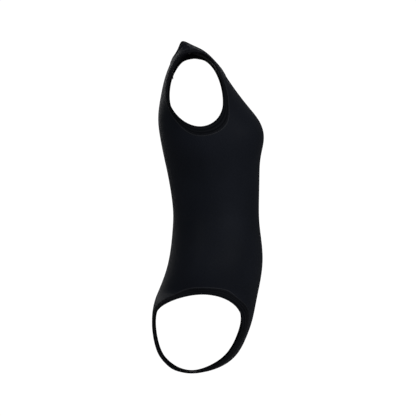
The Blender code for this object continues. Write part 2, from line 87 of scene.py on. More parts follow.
# Welt: the shell's own edge, turned under and standing in a ridge beside the binding
WELT_WIDTH = 2.6 * MM
WELT_HEIGHT = 0.85 * MM
WELT_POINTS = 7
WELT_FOOT = 0.1 * MM            # how far its ends sink into the shell, and its underside's height

# Topstitching
STITCH_ROWS = (2.0 * MM, 5.2 * MM)   # from the binding's seam edge
STITCH_LENGTH = 2.3 * MM
STITCH_PITCH = 3.1 * MM
THREAD_RADIUS = 0.17 * MM
GROOVE_DEPTH = 0.18 * MM
GROOVE_WIDTH = 0.6 * MM
LOOPER_DROP = 0.12 * MM         # the looper thread lies this far under the inner lip

# Seams on the inside
SEAM_WIDTH = 5 * MM
SEAM_TOP = 0.5 * MM             # under the cloth's middle
SEAM_LOW = 1.3 * MM
SEAM_STEP = 1.6 * MM
SEAM_CLEAR = 1 * MM             # from a side seam's ends to the bindings
OVERLOCK_DROP = 0.12 * MM       # the overlock threads lie this far under the seam allowance

# Gusset lining, inside the cloth
LINING_CLEAR = 1.5 * MM         # from its edge to the leg bindings
LINING_DEPTH = 0.95 * MM        # under the cloth's middle
LINING_THICK = 0.5 * MM

# Care label: a ribbon folded in two, sewn along its top
LABEL_HALF = 0.34 * MM          # half the thickness of the folded ribbon
LABEL_CURL = 0.7 * MM           # how far its lower corners turn
LABEL_BOW = 0.25 * MM
LABEL_STITCHES = 10             # on each face
LABEL_STITCH_DROP = 1.6 * MM    # from the top edge to the stitches

# A rounded row is a quarter ellipse drawn as a quartic Bezier: these are its control ratios.
REACH = 0.414
CORNER = 0.776

# ---------------------------------------------------------------- the pattern's key rows
# From the crotch seam to the shoulder seam, in millimetres as (side, forward, height):
# inner end, outer end, roundness, swell. The inner end runs up the centre line and then round the
# neck; the outer end runs along the leg, up the side seam and up the armhole.
FRONT_ROWS = [
    ((0, -40, 0), (36, -38, 2), 0.5, 0.0),
    ((0, -10, 1), (36, -14, 5), 0.5, 0.0),
    ((0, 33, 16), (40, 22, 23), 0.6, 0.0),
    ((0, 61, 41), (53, 45.5, 47), 0.7, 0.0),
    ((0, 78, 74), (78, 61, 78), 0.8, 0.0),
    ((0, 89, 106), (106, 67, 110), 0.8, 0.0),
    ((0, 95.5, 136), (130, 51, 141.5), 0.9, 0.0),
    ((0, 101.5, 166), (150, -10, 162), 1.0, 0.0),
    ((0, 110, 227), (154, -3, 222), 1.0, 0.0),
    ((0, 104.5, 291), (126, 6, 288), 1.0, 0.0),
    ((0, 102.5, 330), (118, 8, 325), 1.0, 0.0),
    ((0, 103.5, 390), (126, 4, 385), 1.0, 0.0),
    ((0, 106, 435), (136, -4, 430), 1.0, 0.12),
    ((0, 112.5, 473), (141, -10, 463), 1.0, 0.25),
    ((0, 104.5, 505), (139, -15, 493), 1.0, 0.20),
    ((0, 84, 533), (134, 18.5, 509), 0.8, 0.06),
    ((0, 64, 558), (127, 30.5, 545), 0.7, 0.0),
    ((0, 41, 590), (120, 27.5, 582), 0.6, 0.0),
    ((0, 28, 610.5), (118, 21, 602), 0.5, 0.0),
    ((38, 17, 622.5), (117, 12, 619), 0.4, 0.0),
    ((60, -10, 646.5), (117, -5, 635.5), 0.4, 0.0),
    ((67, -33.5, 657.5), (118, -18, 639), 0.4, 0.0),
    ((70, -51, 664.5), (118, -27, 640), 0.4, 0.0),
]
BACK_ROWS = [
    ((0, -40, 0), (36, -38, 2), 0.5, 0.0),
    ((0, -58, 2), (38, -58, 7), 0.5, 0.0),
    ((0, -76, 10), (44, -73, 15.5), 0.6, 0.0),
    ((0, -92, 26), (56, -88, 28.5), 0.7, 0.0),
    ((0, -103, 46), (74, -99, 48), 0.8, 0.1),
    ((0, -110, 78), (96, -107, 81), 0.8, 0.3),
    ((0, -112, 112), (112, -107, 112), 0.9, 0.4),
    ((0, -108, 142), (131, -90, 139), 0.9, 0.2),
    ((0, -97.5, 170), (150, -10, 162), 1.0, 0.05),
    ((0, -80, 222), (154, -3, 222), 1.0, 0.0),
    ((0, -71, 291), (126, 6, 288), 1.0, 0.0),
    ((0, -70.5, 330), (118, 8, 325), 1.0, 0.0),
    ((0, -79, 390), (126, 4, 385), 1.0, 0.0),
    ((0, -88.5, 435), (136, -4, 430), 1.0, 0.04),
    ((0, -95.5, 470), (141, -10, 463), 1.0, 0.10),
    ((0, -100, 503), (139, -15, 493), 1.0, 0.16),
    ((0, -99, 532), (134, -55, 509), 0.8, 0.14),
    ((0, -94, 562), (127, -78, 545), 0.7, 0.05),
    ((0, -85.5, 598), (120, -77.5, 588), 0.6, 0.0),
    ((0, -70, 636), (118, -69, 612), 0.5, 0.0),
    ((47, -64.5, 642), (117, -53, 633), 0.4, 0.0),
    ((63, -57.5, 655), (118, -39, 638.5), 0.4, 0.0),
    ((70, -51, 664.5), (118, -27, 640), 0.4, 0.0),
]
# Rows where an end turns a corner: leg top, underarm and centre neck.
FRONT_LEG, FRONT_ARM, FRONT_NECK = 7, 14, 18
BACK_LEG, BACK_ARM, BACK_NECK = 8, 15, 19

# Width of a binding from its fold to its seam at the key points round its edge (millimetres).
# A leg's points run from the crotch up the front and down the back, an armhole's from the
# underarm up the front and down the back.
EDGE_WIDTHS = {
    "leg": (14, 14, 14, 16, 24, 28, 18, 13, 17, 19, 15, 13, 13, 13, 14),
    "armhole": (18, 21, 14, 12, 12, 12, 13, 13, 13, 13, 13, 12, 12, 12, 13),
}


def to_frame(point):
    side, forward, height = point
    return np.array((side, -forward - FORWARD_SHIFT, height + LIFT)) * MM


class Spline:
    """A smooth curve through points, read at a fractional point number."""

    def __init__(self, points, closed=False):
        self.points = np.array(points, float)
        self.closed = closed
        if closed:
            self.points = np.vstack([self.points, self.points[:1]])
        gaps = np.linalg.norm(np.diff(self.points, axis=0), axis=1)
        self.knots = np.concatenate([[0.0], np.cumsum(np.sqrt(gaps))])
        self.bends = self._bends()

    def _bends(self):
        """Second derivatives at the points, so that slope and bend run on through each one."""
        count = len(self.points)
        steps = np.diff(self.knots)
        slopes = np.diff(self.points, axis=0) / steps[:, None]
        matrix = np.eye(count)
        right = np.zeros_like(self.points)
        for i in range(1, count - 1):
            matrix[i, i - 1:i + 2] = steps[i - 1], 2 * (steps[i - 1] + steps[i]), steps[i]
            right[i] = 6 * (slopes[i] - slopes[i - 1])
        if self.closed:
            matrix[0, -1] = -1
            matrix[-1] = 0
            matrix[-1, 0] = 2 * (steps[0] + steps[-1])
            matrix[-1, 1] = steps[0]
            matrix[-1, -2] = steps[-1]
            right[-1] = 6 * (slopes[0] - slopes[-1])
        return np.linalg.solve(matrix, right)

    def at(self, number):
        last = len(self.points) - 1
        if self.closed:
            number = number % last
        i = min(int(number), last - 1)
        part = number - i
        step = self.knots[i + 1] - self.knots[i]
        before, after = 1 - part, part
        curve = (before ** 3 - before) * self.bends[i] + (after ** 3 - after) * self.bends[i + 1]
        return before * self.points[i] + after * self.points[i + 1] + curve * step * step / 6

    def even(self, step):
        """Points at equal distances along the curve, and their point numbers."""
        last = len(self.points) - 1
        numbers = np.linspace(0, last, 40 * last + 1)
        dense = np.array([self.at(number) if number < last else self.points[-1] for number in numbers])
        lengths = np.concatenate([[0], np.cumsum(np.linalg.norm(np.diff(dense, axis=0), axis=1))])
        count = max(3, round(lengths[-1] / step))
        wanted = np.linspace(0, lengths[-1], count + 1)
        if self.closed:
            wanted = wanted[:-1]
        points = np.stack([np.interp(wanted, lengths, dense[:, k]) for k in range(3)], axis=1)
        return points, np.interp(wanted, lengths, numbers)


def mirrored(points):
    return [(-x, y, z) for x, y, z in points]


class Panel:
    """Half of the front or the back as a loft of rows from the middle to the outer edge."""

    def __init__(self, rows, leg, arm, neck, other):
        self.last = len(rows) - 1
        self.leg, self.arm, self.neck = leg, arm, neck
        inner = [to_frame(row[0]) for row in rows]
        outer = [to_frame(row[1]) for row in rows]
        far_inner = [to_frame(row[0]) for row in other[0]]
        far_outer = [to_frame(row[1]) for row in other[0]]
        far_leg, far_arm, far_neck = other[1:]
        self.centre = Spline(inner[:neck + 1])
        self.side = Spline(outer[leg:arm + 1])
        self.leg_loop = Spline(outer[:leg + 1] + far_outer[1:far_leg][::-1], closed=True)
        self.arm_loop = Spline(outer[arm:] + far_outer[far_arm + 1:-1][::-1], closed=True)
        near_side = inner[neck:]
        far_side = far_inner[far_neck:-1][::-1]
        self.neck_loop = Spline(
            near_side + far_side + mirrored(far_side[:-1])[::-1] + mirrored(near_side[1:])[::-1],
            closed=True,
        )
        self.form = Spline([(i, row[2], row[3]) for i, row in enumerate(rows)])
        self.cups = Spline([self.cup(i) for i in range(len(rows))])

    def inner(self, row):
        if row <= self.neck:
            return self.centre.at(row)
        return self.neck_loop.at(row - self.neck)

    def outer(self, row):
        if row < self.leg:
            return self.leg_loop.at(row)
        if row <= self.arm:
            return self.side.at(row - self.leg)
        return self.arm_loop.at(row - self.arm)

    def cup(self, row):
        """The control point that sets how full a row is between its two ends."""
        start, end = self.inner(row), self.outer(row)
        form = self.form.at(row)
        across = np.array((end[0] - start[0], 0, 0))
        depth = start - end + across
        round_cup = start + CORNER * across - (1 - CORNER - form[2]) * depth
        straight = (start + end) / 2
        return straight + form[1] * (round_cup - straight)

    def controls(self, row):
        start, end = self.inner(row), self.outer(row)
        form = self.form.at(row)
        across = np.array((end[0] - start[0], 0, 0))
        depth = start - end + across
        lead = start + REACH * across
        if row > self.neck:
            past = min(1.0, row - self.neck)
            straight = start + (end - start) / 4
            lead = lead + (1 - form[1]) * past ** 2 * (3 - 2 * past) * (straight - lead)
        tail = end + (start - end) / 4
        tail = tail + form[1] * (end + REACH * depth - tail)
        return np.array((start, lead, self.cups.at(row), tail, end))

    def row(self, row, places):
        """Points of one row, at places from 0 in the middle to 1 at the outer edge."""
        weights = [math.comb(4, k) * places ** k * (1 - places) ** (4 - k) for k in range(5)]
        return np.stack(weights, axis=1) @ self.controls(row)

    def stations(self, step):
        """Fractional row numbers, with every key row among them."""
        found = [0.0]
        for i in range(self.last):
            lengths = (self.inner(i + 1) - self.inner(i), self.outer(i + 1) - self.outer(i))
            longest = max(np.linalg.norm(length) for length in lengths)
            count = max(1, math.ceil(longest / step))
            found += [i + (k + 1) / count for k in range(count)]
        return found


FRONT = Panel(FRONT_ROWS, FRONT_LEG, FRONT_ARM, FRONT_NECK, (BACK_ROWS, BACK_LEG, BACK_ARM, BACK_NECK))
BACK = Panel(BACK_ROWS, BACK_LEG, BACK_ARM, BACK_NECK, (FRONT_ROWS, FRONT_LEG, FRONT_ARM, FRONT_NECK))
EDGES = {"armhole": FRONT.arm_loop, "leg": FRONT.leg_loop, "neck": FRONT.neck_loop}
# Stretches of each edge, in its own point numbers, that belong to the front panel
ON_FRONT = {
    "armhole": [(0, FRONT.last - FRONT_ARM)],
    "leg": [(0, FRONT_LEG)],
    "neck": [
        (0, FRONT.last - FRONT_NECK),
        (len(FRONT.neck_loop.points) - 1 - (FRONT.last - FRONT_NECK), len(FRONT.neck_loop.points)),
    ],
}


def width_at(kind, number):
    """Width of a binding at a point number of its edge, easing from one key point to the next."""
    widths = EDGE_WIDTHS.get(kind)
    if widths is None:
        return WIDTHS[kind]
    first = int(number) % len(widths)
    part = number % 1
    part = part * part * (3 - 2 * part)
    return (widths[first] * (1 - part) + widths[(first + 1) % len(widths)] * part) * MM


# ---------------------------------------------------------------- meshes
def make_object(name, points, faces, uvs=None, sharp_angle=50):
    mesh = bpy.data.meshes.new(name)
    mesh.from_pydata([tuple(point) for point in points], [], [tuple(face) for face in faces])
    if uvs is not None:
        layer = mesh.uv_layers.new(name="Weave")
        corners = np.zeros(len(mesh.loops), int)
        mesh.loops.foreach_get("vertex_index", corners)
        layer.data.foreach_set("uv", np.asarray(uvs, float)[corners].ravel())
    solid = bmesh.new()
    solid.from_mesh(mesh)
    bmesh.ops.recalc_face_normals(solid, faces=solid.faces)
    solid.to_mesh(mesh)
    solid.free()
    mesh.shade_smooth()
    mesh.set_sharp_from_angle(angle=math.radians(sharp_angle))
    item = bpy.data.objects.new(name, mesh)
    bpy.context.scene.collection.objects.link(item)
    return item


def finish_piece(item, material, slot, body, *nodes):
    item.data.materials.clear()
    item.data.materials.append(material)
    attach(item, body)
    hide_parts(*nodes)
    return item


def mirror_x(points):
    return np.asarray(points) * (-1, 1, 1)


def join_parts(parts):
    """Several (points, faces) as one."""
    points, faces = [], []
    base = 0
    for part_points, part_faces in parts:
        points.append(np.asarray(part_points, float).reshape(-1, 3))
        faces += [tuple(base + k for k in face) for face in part_faces]
        base += len(points[-1])
    return np.vstack(points), faces


def grid_faces(rows, columns, base=0):
    """Faces of a grid of points that are stored row by row."""
    faces = []
    for i in range(rows - 1):
        for j in range(columns - 1):
            corner = base + i * columns + j
            faces.append((corner, corner + 1, corner + columns + 1, corner + columns))
    return faces


def unit(vectors):
    return vectors / np.maximum(np.linalg.norm(vectors, axis=-1, keepdims=True), 1e-12)


def half_grid(panel, sign):
    """One half of a panel as rows of points, with cloth lengths as its map."""
    places = np.linspace(0, 1, HALF_COLUMNS + 1)
    grid = np.array([panel.row(number, places) for number in panel.stations(CELL)])
    ease = (1 - np.abs(2 * places - 1) ** 4)[None, :, None]
    for _ in range(ROW_ROUNDS):
        grid[1:-1] += ease * (grid[:-2] - 2 * grid[1:-1] + grid[2:]) / 4
    across = np.linalg.norm(np.diff(grid, axis=1), axis=2)
    u = np.concatenate([np.zeros((len(grid), 1)), np.cumsum(across, axis=1)], axis=1)
    u += grid[:, :1, 0]
    middle = np.linalg.norm(np.diff(grid[:, HALF_COLUMNS // 2], axis=0), axis=1)
    v = np.concatenate([[0], np.cumsum(middle)])[:, None] + np.zeros_like(u)
    grid[:, :, 0] *= sign
    return grid, np.stack([u * sign, v], axis=2)


def sheet(panel):
    """Both halves of a panel's middle surface as one sheet whose faces look away from the body."""
    points, faces, uvs = [], [], []
    base = 0
    for sign in (1, -1):
        grid, lengths = half_grid(panel, sign)
        rows, columns = grid.shape[:2]
        points.append(grid.reshape(-1, 3))
        uvs.append(lengths.reshape(-1, 2))
        outward = sign > 0 if panel is FRONT else sign < 0
        made = grid_faces(rows, columns, base)
        faces += made if outward else [face[::-1] for face in made]
        base += rows * columns
    points, uvs = np.vstack(points), np.vstack(uvs)
    middle = np.abs(points[:, 0]) < 0.01 * MM
    keys = {}
    where = np.zeros(len(points), int)
    for k, point in enumerate(points):
        key = tuple(np.round(point / (0.01 * MM)).astype(int)) if middle[k] else k
        where[k] = keys.setdefault(key, len(keys))
    first = np.zeros(len(keys), int)
    first[where[::-1]] = np.arange(len(points))[::-1]
    return points[first], [tuple(where[k] for k in face) for face in faces], uvs[first]


def vertex_normals(points, faces):
    faces = np.array(faces)
    a, b, c, d = (points[faces[:, k]] for k in range(4))
    normal = np.cross(c - a, d - b)
    total = np.zeros_like(points)
    for k in range(4):
        np.add.at(total, faces[:, k], normal)
    return unit(total)


def clearance(points, kind):
    """How far each point stands clear of a binding."""
    edge, numbers = EDGES[kind].even(EDGE_STEP)
    reach = np.array([width_at(kind, number) for number in numbers])
    found = np.zeros(len(points))
    for start in range(0, len(points), 2000):
        part = points[start:start + 2000]
        gaps = np.linalg.norm(part[:, None, :] - edge[None, :, :], axis=2)
        found[start:start + 2000] = (gaps - reach).min(axis=1)
    return found


def thick(points, faces, normals, thickness):
    """A sheet given its thickness, with a rim."""
    count = len(points)
    both = np.vstack([points + normals * thickness / 2, points - normals * thickness / 2])
    made = [tuple(face) for face in faces]
    made += [tuple(k + count for k in face[::-1]) for face in faces]
    rim = set()
    for face in faces:
        for a, b in zip(face, face[1:] + face[:1]):
            if (b, a) in rim:
                rim.remove((b, a))
            else:
                rim.add((a, b))
    made += [(b, a, a + count, b + count) for a, b in sorted(rim)]
    return both, made


class Cloth:
    """The shell's middle surface, for laying other pieces on it."""

    def __init__(self, sheets):
        points, faces = [], []
        for part_points, part_faces in sheets:
            base = len(points)
            points += [Vector(point) for point in part_points]
            faces += [tuple(base + k for k in face) for face in part_faces]
        self.tree = BVHTree.FromPolygons(points, faces)

    def normal(self, point):
        total = Vector((0, 0, 0))
        for _, normal, _, distance in self.tree.find_nearest_range(point, NORMAL_RADIUS):
            total += normal * (NORMAL_RADIUS - distance)
        if total.length == 0:
            total = self.tree.find_nearest(point)[1]
        return total.normalized()

    def lay(self, point):
        spot = self.tree.find_nearest(point)[0]
        return spot, self.normal(spot)


def build_shell():
    """The middle sheets of the front and the back, and the panels cut off under the bindings."""
    raw = {panel: sheet(panel) for panel in (FRONT, BACK)}
    cloth = Cloth([(points, faces) for points, faces, _ in raw.values()])
    shells = {}
    for panel, (points, faces, uvs) in raw.items():
        near = np.abs(points) * (1, 0, 0) + points * (0, 1, 1)
        keep = np.ones(len(points), bool)
        for kind in EDGES:
            keep &= clearance(near, kind) > -SHELL_TUCK
        normals = vertex_normals(points, faces)
        faces = [face for face in faces if keep[list(face)].all()]
        used = np.unique(np.array(faces).ravel())
        fresh = {old: new for new, old in enumerate(used)}
        faces = [tuple(fresh[k] for k in face) for face in faces]
        made = thick(points[used], faces, normals[used], SHELL)
        shells[panel] = (*made, np.vstack([uvs[used], uvs[used]]))
    return cloth, shells


# ---------------------------------------------------------------- bindings
def lip_height(depth, width):
    """Height of a binding's face above the cloth's middle, at a distance from the fold."""
    rounded = LIP * np.sqrt(1 - np.exp(-depth / (0.5 * MM)))
    crown = CROWN * np.sin(math.pi * np.minimum(depth / width, 1.0))
    groove = sum(
        GROOVE_DEPTH * np.exp(-((width - depth - row) / GROOVE_WIDTH) ** 2)
        for row in STITCH_ROWS
    )
    return rounded + crown - groove


def lip_stops(width):
    """Distances from the fold at which a binding's cross-section has a point."""
    stops = [stop * MM for stop in (0.0, 0.12, 0.35, 0.7, 1.2, 2.0, 3.2)]
    far, near = width - max(STITCH_ROWS), width - min(STITCH_ROWS)
    stops += list(np.arange(4.6 * MM, far - 1.2 * MM, 1.5 * MM))
    for row in (far, near):
        stops += [row + shift * MM for shift in (-0.6, -0.25, 0.0, 0.25, 0.6)]
    stops += [(far + near) / 2, width - 0.8 * MM, width - 0.3 * MM, width]
    return np.array(sorted(stops))


class Band:
    """The cloth beside an edge as a smooth grid, which the binding's layers are laid on."""

    def __init__(self, cloth, kind):
        self.width = WIDTHS[kind]
        self.front = ON_FRONT[kind]
        self.edge, self.numbers = EDGES[kind].even(EDGE_STEP)
        self.lip = lip_stops(self.width)
        beyond = self.width + WELT_WIDTH * np.linspace(0, 1, WELT_POINTS)[1:]
        self.stops = np.concatenate([self.lip, beyond])
        flip = -1 if kind == "neck" else 1
        along = unit(np.roll(self.edge, -1, axis=0) - np.roll(self.edge, 1, axis=0))
        up = np.array([cloth.normal(Vector(point)) for point in self.edge])
        into = unit(np.cross(up, along)) * flip
        into = unit(self.smooth(into))
        spots = np.zeros((len(self.edge), len(self.stops), 3))
        ups = np.zeros_like(spots)
        inside = np.minimum(self.stops, self.width)
        for i, here in enumerate(self.edge):
            reach = inside * width_at(kind, self.numbers[i]) / self.width + self.stops - inside
            for j, distance in enumerate(reach):
                spot, normal = cloth.lay(Vector(here + into[i] * distance))
                spots[i, j] = spot
                ups[i, j] = normal
        spots -= self.edge[:, None]
        self.spots = self.edge[:, None] + self.smooth(spots)
        self.ups = unit(self.smooth(ups))
        steps = np.linalg.norm(np.roll(self.edge, -1, axis=0) - self.edge, axis=1)
        self.total = steps.sum()
        self.runs = np.concatenate([[0], np.cumsum(steps)])

    def smooth(self, values):
        for _ in range(EDGE_ROUNDS):
            values = (np.roll(values, 1, axis=0) + 2 * values + np.roll(values, -1, axis=0)) / 4
        return values

    def layer(self, stops, heights):
        """Points of every cross-section, at given distances from the fold and heights."""
        column = np.interp(stops, self.stops, np.arange(len(self.stops)))
        low = np.minimum(column.astype(int), len(self.stops) - 2)
        part = (column - low)[None, :, None]
        spots = self.spots[:, low] * (1 - part) + self.spots[:, low + 1] * part
        ups = unit(self.ups[:, low] * (1 - part) + self.ups[:, low + 1] * part)
        return spots + ups * np.asarray(heights)[None, :, None]

    def at(self, run, depth, height):
        """A point on the band, for arrays of distance along it, distance across and height."""
        row = np.interp(run % self.total, self.runs, np.arange(len(self.runs)))
        column = np.interp(depth, self.stops, np.arange(len(self.stops)))
        i = row.astype(int) % len(self.edge)
        j = np.minimum(column.astype(int), len(self.stops) - 2)
        down, over = (row - row.astype(int))[..., None], (column - j)[..., None]
        after = (i + 1) % len(self.edge)
        found = []
        for values in (self.spots, self.ups):
            first = values[i, j] * (1 - over) + values[i, j + 1] * over
            second = values[after, j] * (1 - over) + values[after, j + 1] * over
            found.append(first * (1 - down) + second * down)
        return found[0] + unit(found[1]) * height[..., None]


def ring_faces(count, size, closed=True):
    """Faces of a loft through rings of equal size."""
    faces = []
    for i in range(count if closed else count - 1):
        here, there = i * size, (i + 1) % count * size
        for j in range(size):
            k = (j + 1) % size
            faces.append((here + j, here + k, there + k, there + j))
    if not closed:
        faces.append(tuple(range(size))[::-1])
        faces.append(tuple(range((count - 1) * size, count * size)))
    return faces


def binding_rings(band):
    """Outer lip, fold, inner lip and the hollow for cloth and elastic."""
    height = lip_height(band.lip, band.width)
    outer = band.layer(band.lip[::-1], height[::-1])
    drop = (height + INNER_CHANNEL - OUTER_CHANNEL) * np.minimum(1, band.lip / (1.2 * MM)) ** 0.5
    inner = band.layer(band.lip[1:], -drop[1:])
    depths = np.array((band.width, band.width / 2, 1.0 * MM))
    hollow_low = band.layer(depths, [-INNER_CHANNEL] * 3)
    hollow_top = band.layer(depths[::-1], [OUTER_CHANNEL] * 3)
    return np.concatenate([outer, inner, hollow_low, hollow_top], axis=1)


def ring_uvs(band, rings):
    """Map of a binding: distance round its cross-section against distance along the edge."""
    reach = np.linalg.norm(np.diff(rings, axis=1), axis=2).mean(axis=0)
    reach = np.concatenate([[0], np.cumsum(reach)])
    return np.stack(np.broadcast_arrays(reach[None, :], band.runs[:-1, None]), axis=2).reshape(-1, 2)


def elastic_rings(band):
    middle = -(INNER_CHANNEL + SHELL / 2) / 2
    depths = ELASTIC_INSET + ELASTIC_WIDTH * np.linspace(0, 1, 4)
    top = band.layer(depths, [middle + ELASTIC_THICK / 2] * 4)
    low = band.layer(depths[::-1], [middle - ELASTIC_THICK / 2] * 4)
    return np.concatenate([top, low], axis=1)


def welt_parts(band, panel):
    """The ridge of turned cloth beside the binding, as far as it lies on one panel."""
    part = np.linspace(0, 1, WELT_POINTS)
    rise = SHELL / 2 - WELT_FOOT + WELT_HEIGHT * np.sin(math.pi * part) ** 0.7
    top = band.layer(band.width + WELT_WIDTH * part, rise)
    low = band.layer(np.array((band.width + WELT_WIDTH, band.width)), [WELT_FOOT] * 2)
    rings = np.concatenate([top, low], axis=1)
    return [rings[run] for run in panel_runs(band, panel)]


def panel_runs(band, panel):
    """Unbroken runs of cross-sections that lie on one panel, both ends shared with the other."""
    on_front = np.zeros(len(band.edge), bool)
    for low, high in band.front:
        on_front |= (band.numbers >= low) & (band.numbers <= high)
    mine = on_front if panel is FRONT else ~on_front
    count = len(mine)
    start = next(i for i in range(count) if mine[i] and not mine[i - 1])
    runs, current = [], []
    for step in range(count + 1):
        i = (start + step) % count
        if mine[i] and step < count:
            current.append(i)
        elif current:
            runs.append([(current[0] - 1) % count] * (panel is BACK) + current + [i] * (panel is BACK))
            current = []
    return runs


def tubes(paths, radius, sides):
    """Short threads through points, thinner at both ends: paths is (threads, points, 3)."""
    count, length = paths.shape[:2]
    along = unit(np.gradient(paths, axis=1))
    side = unit(np.cross(along, unit(np.array((0.31, 0.47, 0.83)))))
    up = np.cross(along, side)
    taper = np.ones(length)
    taper[[0, -1]] = 0.6
    turns = math.tau * np.arange(sides) / sides
    ring = side[:, :, None] * np.cos(turns)[:, None] + up[:, :, None] * np.sin(turns)[:, None]
    points = paths[:, :, None] + ring * radius * taper[:, None, None]
    one = np.array(ring_faces(length, sides, closed=False)[:-2])
    caps = np.array([range(sides), range((length - 1) * sides, length * sides)])
    size = length * sides
    faces = (one[None] + size * np.arange(count)[:, None, None]).reshape(-1, 4).tolist()
    faces += (caps[None] + size * np.arange(count)[:, None, None]).reshape(-1, sides).tolist()
    return points.reshape(-1, 3), faces


def stitches(band):
    """Two rows of separate stitches on the outer lip, and the looper thread inside."""
    count = round(band.total / STITCH_PITCH)
    pitch = band.total / count
    parts = []
    along = np.array((0.0, 0.18, 0.5, 0.82, 1.0)) * STITCH_LENGTH
    rise = np.array((-0.16, 0.06, 0.13, 0.06, -0.16)) * MM
    runs = pitch * np.arange(count)[:, None] + along[None]
    for row in STITCH_ROWS:
        depth = np.full_like(runs, band.width - row)
        height = lip_height(depth, band.width) + rise[None]
        parts.append(tubes(band.at(runs, depth, height), THREAD_RADIUS, 5))
    turns = np.arange(2 * count + 1)
    depth = band.width - np.where(turns % 2 == 0, *STITCH_ROWS)
    under = -(lip_height(depth, band.width) + INNER_CHANNEL - OUTER_CHANNEL) - LOOPER_DROP
    corners = band.at(turns * pitch / 2, depth, under)
    paths = np.stack([corners[:-1], (corners[:-1] + corners[1:]) / 2, corners[1:]], axis=1)
    parts.append(tubes(paths, THREAD_RADIUS * 1.1, 4))
    return join_parts(parts)


def add_edges(bands, looks):
    for kind, band in bands.items():
        rings = binding_rings(band)
        binding_points, binding_faces = rings.reshape(-1, 3), ring_faces(*rings.shape[:2])
        uvs = ring_uvs(band, rings)
        strip = elastic_rings(band)
        strip_points, strip_faces = strip.reshape(-1, 3), ring_faces(*strip.shape[:2])
        thread_points, thread_faces = stitches(band)
        for side in ("",) if kind == "neck" else ("left_", "right_"):
            flip = mirror_x if side == "right_" else np.asarray
            stem = side + kind
            item = make_object(stem + "_band", flip(binding_points), binding_faces, uvs, 75)
            finish_piece(item, looks["binding"], "binding", "leotard", stem + "_binding")
            item = make_object(stem + "_flat_elastic", flip(strip_points), strip_faces)
            finish_piece(item, looks["elastic"], "elastic", "leotard", stem + "_elastic")
            item = make_object(stem + "_topstitching", flip(thread_points), thread_faces)
            finish_piece(item, looks["thread"], "thread", "leotard", stem + "_stitching")


def add_shells(shells, bands, looks):
    for panel, name in ((FRONT, "front"), (BACK, "back")):
        points, faces, uvs = shells[panel]
        item = make_object(name + "_shell", points, faces, uvs)
        finish_piece(item, looks["shell"], "shell", "leotard", name + "_panel")
        parts, maps = [], []
        for kind, band in bands.items():
            for rings in welt_parts(band, panel):
                welt = rings.reshape(-1, 3)
                welt_faces = ring_faces(*rings.shape[:2], closed=False)
                sides = (welt,) if kind == "neck" else (welt, mirror_x(welt))
                for side_points in sides:
                    parts.append((side_points, welt_faces))
                    maps.append(side_points[:, (0, 2)])
        points, faces = join_parts(parts)
        item = make_object(name + "_seam_ridge", points, faces, np.vstack(maps))
        finish_piece(item, looks["ridge"], "shell", "leotard", name + "_panel")


# ---------------------------------------------------------------- inside pieces
def open_path(points, start, end, step):
    """Evenly spaced points of an open path, with a length cut off each end."""
    points = np.asarray(points)
    lengths = np.concatenate([[0], np.cumsum(np.linalg.norm(np.diff(points, axis=0), axis=1))])
    total = lengths[-1] - end - start
    wanted = np.linspace(start, lengths[-1] - end, max(3, round(total / step)) + 1)
    return np.stack([np.interp(wanted, lengths, points[:, k]) for k in range(3)], axis=1)


def overlocked_strip(cloth, path):
    """A seam allowance under the cloth with overlock threads looped over it."""
    columns = np.linspace(-0.5, 0.5, 5) * SEAM_WIDTH
    spots, ups = [], []
    for i, here in enumerate(path):
        along = Vector(path[min(i + 1, len(path) - 1)] - path[max(i - 1, 0)]).normalized()
        across = cloth.normal(Vector(here)).cross(along).normalized()
        laid = [cloth.lay(Vector(here) + across * column) for column in columns]
        spots.append([tuple(spot) for spot, _ in laid])
        ups.append([tuple(up) for _, up in laid])
    spots, ups = np.array(spots), np.array(ups)
    bulge = (1 - (2 * columns / SEAM_WIDTH) ** 4)[None, :, None]
    top = spots - ups * SEAM_TOP
    low = spots - ups * (SEAM_TOP + (SEAM_LOW - SEAM_TOP) * (0.55 + 0.45 * bulge))
    rings = np.concatenate([top, low[:, ::-1]], axis=1)
    body = (rings.reshape(-1, 3), ring_faces(*rings.shape[:2], closed=False))
    looped = low - ups * OVERLOCK_DROP
    left, middle, right = looped[:, 0], looped[:, 2], looped[:, -1]
    slanted = np.stack([left[:-1], (middle[:-1] + middle[1:]) / 2, right[1:]], axis=1)
    level = np.stack([right[:-1], middle[:-1], left[:-1]], axis=1)
    return join_parts([body, tubes(slanted, THREAD_RADIUS, 4), tubes(level, THREAD_RADIUS, 4)])


def row_point(spread, x):
    """The point of a sampled row at a sideways distance from the middle."""
    y, z = (np.interp(abs(x), spread[:, 0], spread[:, k]) for k in (1, 2))
    return np.array((x, y, z))


def add_seams(cloth, looks):
    """The overlocked seams: one down each side and one across the crotch."""
    low_end = width_at("leg", FRONT.leg) + SEAM_CLEAR
    top_end = width_at("armhole", 0) + SEAM_CLEAR
    path = open_path(FRONT.side.even(SEAM_STEP)[0], low_end, top_end, SEAM_STEP)
    points, faces = overlocked_strip(cloth, path)
    for side, flip in (("left", np.asarray), ("right", mirror_x)):
        item = make_object(side + "_overlocked_seam", flip(points), faces)
        finish_piece(item, looks["thread"], "thread", "leotard", side + "_side_seam")
    half = FRONT.outer(0)[0] - width_at("leg", 0)
    spread = BACK.row(0.3, np.linspace(0, 1, 81))
    path = np.array([row_point(spread, x) for x in np.arange(-half, half, SEAM_STEP)])
    points, faces = overlocked_strip(cloth, path)
    item = make_object("crotch_overlocked_seam", points, faces)
    finish_piece(item, looks["thread"], "thread", "leotard", "crotch_seam")


